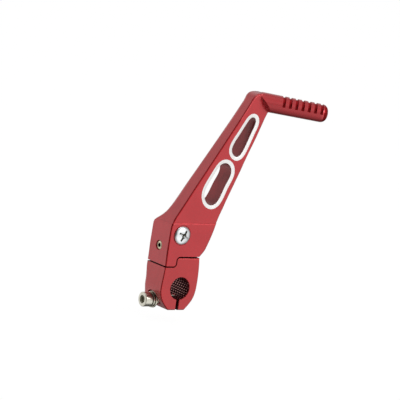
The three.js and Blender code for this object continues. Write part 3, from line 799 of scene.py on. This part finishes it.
def anodised(name, c0, c1, metallic=0.85, rough=(0.38, 0.5), coat=1.0):
    """bead-blasted aluminium under red anodising: fine grain, soft cloudy tint, faint brush lines and handling marks"""
    m, nt, b = shader(name)
    co = object_coord(nt)
    grain = noise(nt, co, 2600.0, 3.0, 0.7)
    cloud = noise(nt, co, 45.0, 3.0, 0.5)
    marks = noise(nt, co, 160.0, 6.0, 0.75, (1.0, 1.0, 0.25))
    tint = mixed(nt, ranged(nt, cloud, 0.0, 1.0), c0, c1)
    light = tuple(min(1.0, v * 1.35 + 0.012) for v in c1)
    tint = mixed(nt, ranged(nt, grain, 0.0, 0.55, 0.52, 0.75), tint, light)
    nt.links.new(tint, b.inputs["Base Color"])
    r = ranged(nt, marks, rough[0], rough[1], 0.35, 0.65)
    nt.links.new(r, b.inputs["Roughness"])
    b.inputs["Metallic"].default_value = metallic
    b.inputs["Coat Weight"].default_value = coat
    b.inputs["Coat IOR"].default_value = COAT_IOR
    b.inputs["Coat Roughness"].default_value = 0.22
    bumped(nt, b, grain, 0.35, 0.00003)
    return m


def metal(name, c0, c1, rough, metallic=1.0, lines=(1.0, 1.0, 1.0), scale=900.0, bump=0.2, spots=None,
          gloss=None):
    """worked metal: tool lines or grain, an uneven tone and smudges in the gloss"""
    m, nt, b = shader(name)
    co = object_coord(nt)
    fine = noise(nt, co, scale, 4.0, 0.7, lines)
    cloud = noise(nt, co, 260.0, 4.0, 0.6)
    tint = mixed(nt, ranged(nt, cloud, 0.0, 1.0), c0, c1)
    if spots:
        tint = mixed(nt, ranged(nt, fine, 0.0, 0.8, 0.6, 0.72), tint, spots)
    nt.links.new(tint, b.inputs["Base Color"])
    nt.links.new(ranged(nt, fine, rough[0], rough[1], 0.3, 0.7), b.inputs["Roughness"])
    b.inputs["Metallic"].default_value = metallic
    if gloss is not None:
        b.inputs["Specular IOR Level"].default_value = gloss
    bumped(nt, b, fine, bump, 0.00003)
    return m


COAT_IOR = 1.58
red_boss = anodised("red anodised boss", (0.47, 0.011, 0.016), (0.54, 0.016, 0.021))
red_arm = anodised("red anodised arm", (0.49, 0.011, 0.018), (0.56, 0.016, 0.024))
# darker red on the rounded front-left edges only: painted dark reflection of the room on the camera's side
edge_painted_reflection_red = anodised("red anodised edge break painted dark reflection", (0.37, 0.005, 0.008), (0.44, 0.009, 0.013), coat=0.35)
# darker, less metallic copy of the arm's red on the milled wall at the peg's root: painted shade
root_painted_shade_red = anodised("red anodised root cut painted shade", (0.34, 0.016, 0.02), (0.42, 0.024, 0.03), metallic=0.3, coat=0.4)
# darker red on the arm slots' inner walls: painted shade
slot_painted_shade_red = anodised("red anodised slot walls painted shade", (0.20, 0.005, 0.007), (0.34, 0.010, 0.014), rough=(0.42, 0.55), coat=0.6)
# near-black faces in the seam between boss and head and round the spigot: painted shade where the parts hide each other
# from the light
joint_painted_shade = metal("joint faces painted shade", (0.03, 0.003, 0.003), (0.07, 0.008, 0.008), (0.5, 0.7), 0.0, gloss=0.2)
bare = metal("bare machined chamfer", (0.93, 0.92, 0.90), (0.99, 0.98, 0.965), (0.34, 0.46), 0.9, (1, 1, 1), 700.0, 0.1)
# pale pink on the bore's tooth crests: painted highlight
crest_painted_highlight = metal("spline crests painted highlight", (0.50, 0.22, 0.21), (0.66, 0.34, 0.33), (0.22, 0.36), 1.0, (1, 0.2, 1), 1200.0, 0.1)
# near-black on the rest of the splined bore: painted shade
valley_painted_shade = metal("spline valleys painted shade", (0.05, 0.002, 0.003), (0.10, 0.004, 0.006), (0.45, 0.7), 0.0, gloss=0.12)
# near-black on the boss's clamp slot walls: painted shade
slot_painted_shade_dark = metal("clamp slot walls painted shade", (0.03, 0.003, 0.003), (0.06, 0.005, 0.006), (0.45, 0.65), 0.0, gloss=0.15)
zinc = metal("zinc-plated bolt", (0.66, 0.63, 0.52), (0.82, 0.80, 0.70), (0.16, 0.30), 1.0, (1, 0.3, 0.3), 1500.0, 0.12,
             (0.45, 0.42, 0.33))
zinc_washer = metal("zinc-plated washers", (0.60, 0.57, 0.46), (0.78, 0.75, 0.63), (0.2, 0.36), 1.0, (1, 0.4, 0.4),
                    1500.0, 0.12, (0.4, 0.37, 0.28))
# darker zinc inside the pinch bolt's hex socket: painted shade
socket_painted_shade = metal("bolt socket", (0.40, 0.38, 0.28), (0.60, 0.58, 0.46), (0.35, 0.55), 0.7)
plated = metal("bright plated screw", (0.84, 0.87, 0.88), (0.95, 0.97, 0.98), (0.14, 0.26), 1.0, (1, 1, 1), 900.0, 0.08)
# dark grey inside the screw's cross recess: painted shade
recess_painted_shade = metal("cross recess", (0.20, 0.19, 0.15), (0.42, 0.40, 0.34), (0.25, 0.45), 1.0)
yellow_zinc = metal("yellow zinc set screw", (0.86, 0.76, 0.48), (0.95, 0.90, 0.68), (0.2, 0.36), 1.0, spots=(0.5, 0.42, 0.24))
# near-black inside the set screw's hex socket: painted shade
set_screw_socket_painted_shade = metal("set screw socket", (0.012, 0.010, 0.008), (0.05, 0.045, 0.03), (0.3, 0.6), 0.8)
wire = metal("spring wire", (0.42, 0.42, 0.41), (0.6, 0.6, 0.58), (0.25, 0.4), 1.0, (0.3, 1, 1))
steel_ball = metal("bearing ball", (0.74, 0.74, 0.74), (0.86, 0.86, 0.86), (0.06, 0.14), 1.0, bump=0.03)


_yaw, _tilt = math.radians(PEG["yaw"]), math.radians(PEG["tilt"])
PEG_DIR = Vector((math.sin(_yaw) * math.cos(_tilt), -math.cos(_yaw) * math.cos(_tilt), math.sin(_tilt)))
PEG_AT = Vector((PEG["x"], PEG["y"], PEG["z"]))
ROOT_WALL = Vector((-0.795, 0, -0.607))


def groove_painted_shade():
    """the floors of the peg's grooves: painted shade, deeper red low down and lighter towards the top where the light
    falls
    """
    m, nt, b = shader("red anodised grooves painted shade")
    co = object_coord(nt)
    grain = noise(nt, co, 2600.0, 3.0, 0.7)
    up = PEG_DIR.cross(Vector((0, 0, 1))).cross(PEG_DIR).normalized()
    dot = nt.nodes.new("ShaderNodeVectorMath")
    dot.operation = "DOT_PRODUCT"
    dot.inputs[1].default_value = up
    nt.links.new(co, dot.inputs[0])
    level = PEG_AT.dot(up) * MM
    # painted shade: dark in the groove floors, lighter towards the top of the peg
    lit_towards_top = ranged(nt, dot.outputs["Value"], 0.0, 1.0, level + 0.0012, level + 0.0042)
    painted_shade_low = mixed(nt, ranged(nt, grain, 0.0, 1.0), (0.17, 0.001, 0.002), (0.26, 0.003, 0.005))
    nt.links.new(mixed(nt, lit_towards_top, painted_shade_low, (0.42, 0.012, 0.016)), b.inputs["Base Color"])
    nt.links.new(ranged(nt, grain, 0.4, 0.55), b.inputs["Roughness"])
    b.inputs["Metallic"].default_value = 0.8
    b.inputs["Specular IOR Level"].default_value = 0.3
    bumped(nt, b, grain, 0.3, 0.00003)
    return m


groove_painted_shade_red = groove_painted_shade()


# ------------------------------------------------------------------ finishing
def finish_mesh(ob, name, body, nodes, materials, pick=None, smooth=32.0):
    """material by face, smooth shading that keeps the flat faces flat, scale to metres, and hand over to the frame"""
    ob.name = name
    ob.data.materials.clear()
    for m in materials:
        ob.data.materials.append(m)
    for p in ob.data.polygons:
        p.material_index = pick(p.center, p.normal) if pick else 0
        p.use_smooth = True
    ob.data.set_sharp_from_angle(angle=math.radians(smooth))
    w = ob.modifiers.new("w", "WEIGHTED_NORMAL")
    w.keep_sharp = True
    w.weight = 100
    bpy.context.view_layer.update()
    baked(ob)
    ob.data.transform(Matrix.Scale(MM, 4))
    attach(ob, body)
    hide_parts(*nodes)
    print(name, len(ob.data.polygons), "faces")


def pick_boss(c, n):
    r = math.hypot(c.x, c.z)
    if YF + 0.5 < c.y < -0.5 and r < 9.3:
        radial = (c.x * n.x + c.z * n.z) / max(r, 1e-6)
        # tooth crest faces: painted highlight
        if r < 8.14 and radial < -0.9:
            return 2
        # the other bore faces: painted shade
        return 3
    # front-left edge faces: painted dark reflection
    if n.x < -0.25 and n.y < -0.25 and c.y < YF + 1.0:
        return 6
    # clamp slot walls: painted shade
    if SLOT_X0 - 0.1 < c.x < SLOT_X1 + 0.1 and c.z < -7 and abs(n.x) > 0.9 and YF < c.y < 0:
        return 4
    # shoulder faces in the seam: painted shade
    if n.z > 0.93 and c.z > SHOULDER_Z - 0.2 and c.z < BLOCK_Z + 0.2:
        return 1
    d = Vector((c.x - PIV.x, c.y - PIV.y))
    if c.z > SHOULDER_Z - 0.1 and d.length < SPIGOT_R + 0.1:
        return 5
    return 0


def pick_arm(c, n):
    if ARM_FRONT + 0.02 < c.y < ARM_FRONT + RIM_DROP - 0.02 and -0.998 < n.y < -0.96 and 56 < c.z < 134:
        if min((c.x - x) ** 2 + (c.z - z) ** 2 for x, z in SLOT_LOW + SLOT_HIGH) < 2.4 ** 2:
            return 2
    p = c - PEG_AT
    s = p.dot(PEG_DIR)
    # milled wall at the peg's root: painted shade
    if n.dot(ROOT_WALL) > 0.98 and c.y < ARM_FRONT and c.z > 128:
        return 5
    # groove floors: painted shade
    if GROOVE_FIRST - 1.5 < s < PEG["end"] - 0.8:
        off = (p - PEG_DIR * s).length
        if off < PEG["r0"] + (PEG["r1"] - PEG["r0"]) * s / 50 - 0.2:
            return 4
    # front-left edge faces: painted dark reflection
    if n.x < -0.25 and n.y < -0.25 and c.y < ARM_FRONT + 1.4 and c.z < 128:
        return 6
    # slot inner walls: painted shade
    if abs(n.y) < 0.3 and 56 < c.z < 134:
        if min((c.x - x) ** 2 + (c.z - z) ** 2 for x, z in SLOT_LOW + SLOT_HIGH) < 1.0:
            return 3
    # head underside and spigot bore faces: painted shade
    if c.z < BLOCK_Z + SEAM + 0.2 and n.z < -0.93:
        return 1
    d = Vector((c.x - PIV.x, c.y - PIV.y))
    if c.z < SPIGOT_TOP + 0.5 and d.length < SPIGOT_R + 0.5:
        return 1
    return 0


finish_mesh(boss, "clamp_boss_body", "boss", ["clamp_boss"],
            [red_boss, joint_painted_shade, crest_painted_highlight, valley_painted_shade, slot_painted_shade_dark, wire, edge_painted_reflection_red], pick_boss)
finish_mesh(arm, "lever_arm_body", "arm", ["lever_arm"],
            [red_arm, joint_painted_shade, bare, slot_painted_shade_red, groove_painted_shade_red, root_painted_shade_red, edge_painted_reflection_red], pick_arm)


def in_socket(x0, r):
    return lambda c, n: 1 if (c.x > x0 and math.hypot(c.y - BOLT_Y, c.z - BOLT_Z) < r and c.x < x0 + 4.3) else 0


# the bolt's hex socket faces take the painted shade
finish_mesh(build_pinch_bolt(), "pinch_bolt_body", "boss", ["pinch_bolt"], [zinc, socket_painted_shade],
            in_socket(-23.2, 2.95))
finish_mesh(build_split_washer(), "pinch_spring_washer_body", "boss", ["pinch_spring_washer"],
            [zinc_washer])
finish_mesh(build_flat_washer(), "pinch_flat_washer_body", "boss", ["pinch_flat_washer"],
            [zinc_washer])
# the cross recess faces take the painted shade
finish_mesh(build_retaining_screw(), "pivot_retaining_screw_body", "arm", ["pivot_retaining_screw"],
            [plated, recess_painted_shade],
            lambda c, n: 1 if (c.y < YF + 1.5 and math.hypot(c.x - SCREW_X, c.z - SCREW_Z) < 3.9
                               and not n.y < -0.8) else 0)
# the set screw's hex socket faces take the painted shade
finish_mesh(build_set_screw(), "detent_set_screw_body", "arm", ["detent_set_screw"],
            [yellow_zinc, set_screw_socket_painted_shade],
            lambda c, n: 1 if (c.x < -12.6 and c.x > -14.95 and math.hypot(c.y - BOLT_Y, c.z - DET_Z) < 1.8) else 0)
for node, m in (("detent_spring", wire), ("detent_ball", steel_ball)):
    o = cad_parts[node]
    o.data.materials.clear()
    o.data.materials.append(m)

# ------------------------------------------------------------------ floor, light, camera
def add_mesh_plane(name, size, z):
    me = bpy.data.meshes.new(name)
    s = size / 2
    me.from_pydata([(-s, -s, z), (s, -s, z), (s, s, z), (-s, s, z)], [], [(0, 1, 2, 3)])
    ob = bpy.data.objects.new(name, me)
    bpy.context.scene.collection.objects.link(ob)
    return ob


def floor_material():
    """pale paper that reads as near white; what it throws back onto the object is part of the studio light"""
    m = bpy.data.materials.new("floor_paper")
    m.use_nodes = True
    nt = m.node_tree
    nt.nodes.clear()
    out = nt.nodes.new("ShaderNodeOutputMaterial")
    lp = nt.nodes.new("ShaderNodeLightPath")
    dif = nt.nodes.new("ShaderNodeBsdfTransparent")
    em = nt.nodes.new("ShaderNodeEmission")
    em.inputs["Color"].default_value = (1, 1, 1, 1)
    em.inputs["Strength"].default_value = 0.97
    tr = nt.nodes.new("ShaderNodeBsdfTransparent")
    geo = nt.nodes.new("ShaderNodeNewGeometry")
    a = nt.nodes.new("ShaderNodeMixShader")
    b = nt.nodes.new("ShaderNodeMixShader")
    nt.links.new(lp.outputs["Is Camera Ray"], a.inputs[0])
    nt.links.new(dif.outputs[0], a.inputs[1])
    add = nt.nodes.new("ShaderNodeAddShader")
    dim = nt.nodes.new("ShaderNodeBsdfDiffuse")
    dim.inputs["Color"].default_value = (0.06, 0.06, 0.06, 1)
    nt.links.new(em.outputs[0], add.inputs[0])
    nt.links.new(dim.outputs[0], add.inputs[1])
    nt.links.new(add.outputs[0], a.inputs[2])
    nt.links.new(geo.outputs["Backfacing"], b.inputs[0])
    nt.links.new(a.outputs[0], b.inputs[1])
    nt.links.new(tr.outputs[0], b.inputs[2])
    nt.links.new(b.outputs[0], out.inputs["Surface"])
    return m


floor = add_mesh_plane("floor", 6.0, -0.0255)
floor.data.materials.append(floor_material())

# The studio: a bright backdrop behind the object, soft light from above, and a darker room on the camera's side.
world = bpy.data.worlds.new("studio")
bpy.context.scene.world = world
world.use_nodes = True
nt = world.node_tree
nt.nodes.clear()
N, Lk = nt.nodes, nt.links
coord = N.new("ShaderNodeTexCoord")


def lobe(direction, lo, hi, strength):
    """a soft patch of light round a direction: full at cos = hi, none at cos = lo"""
    dot = N.new("ShaderNodeVectorMath")
    dot.operation = "DOT_PRODUCT"
    dot.inputs[1].default_value = Vector(direction).normalized()
    Lk.new(coord.outputs["Generated"], dot.inputs[0])
    mr = N.new("ShaderNodeMapRange")
    mr.interpolation_type = "SMOOTHSTEP"
    mr.inputs["From Min"].default_value = lo
    mr.inputs["From Max"].default_value = hi
    mr.inputs["To Min"].default_value = 0.0
    mr.inputs["To Max"].default_value = strength
    Lk.new(dot.outputs["Value"], mr.inputs["Value"])
    return mr.outputs["Result"]


total = None
for part in WORLD_LOBES:
    o = lobe(*part)
    if total is None:
        base = N.new("ShaderNodeMath")
        base.operation = "ADD"
        base.inputs[1].default_value = WORLD_BASE
        Lk.new(o, base.inputs[0])
        total = base.outputs[0]
    else:
        add = N.new("ShaderNodeMath")
        add.operation = "ADD"
        Lk.new(total, add.inputs[0])
        Lk.new(o, add.inputs[1])
        total = add.outputs[0]
bg = N.new("ShaderNodeBackground")
bg.inputs["Color"].default_value = (1, 1, 1, 1)
Lk.new(total, bg.inputs["Strength"])
white = N.new("ShaderNodeBackground")
white.inputs["Color"].default_value = (1, 1, 1, 1)
white.inputs["Strength"].default_value = 1.0
lp = N.new("ShaderNodeLightPath")
mix = N.new("ShaderNodeMixShader")
wo = N.new("ShaderNodeOutputWorld")
Lk.new(lp.outputs["Is Camera Ray"], mix.inputs[0])
Lk.new(bg.outputs[0], mix.inputs[1])
Lk.new(white.outputs[0], mix.inputs[2])
Lk.new(mix.outputs[0], wo.inputs["Surface"])


def area(name, loc, target, size, power, color=(1, 1, 1)):
    li = bpy.data.lights.new(name, "AREA")
    li.shape = "RECTANGLE"
    li.size, li.size_y = size
    li.energy = power
    li.color = color
    ob = bpy.data.objects.new(name, li)
    bpy.context.scene.collection.objects.link(ob)
    ob.location = loc
    ob.rotation_mode = "QUATERNION"
    ob.rotation_quaternion = (Vector(target) - Vector(loc)).to_track_quat("-Z", "Y")
    ob.visible_camera = False
    return ob


for a in LIGHTS:
    area(*a)

cam = bpy.data.cameras.new("camera")
cam_ob = bpy.data.objects.new("camera", cam)
bpy.context.scene.collection.objects.link(cam_ob)
r = Vector((0.80626884, -0.57418733, 0.14226548))
u = Vector((-0.02279312, 0.2101631, 0.97740061))
d = Vector((0.59111, 0.79129033, -0.15636044))
m = Matrix(((r.x, u.x, -d.x, -928.64 * MM), (r.y, u.y, -d.y, -1275.71 * MM), (r.z, u.z, -d.z, 313.00 * MM),
            (0, 0, 0, 1)))
cam_ob.matrix_world = m
cam.sensor_width = 36.0
cam.lens = 198.0
cam.clip_start, cam.clip_end = 0.05, 30.0
bpy.context.scene.camera = cam_ob
bpy.context.scene.view_settings.view_transform = "Standard"
bpy.context.scene.view_settings.look = "None"
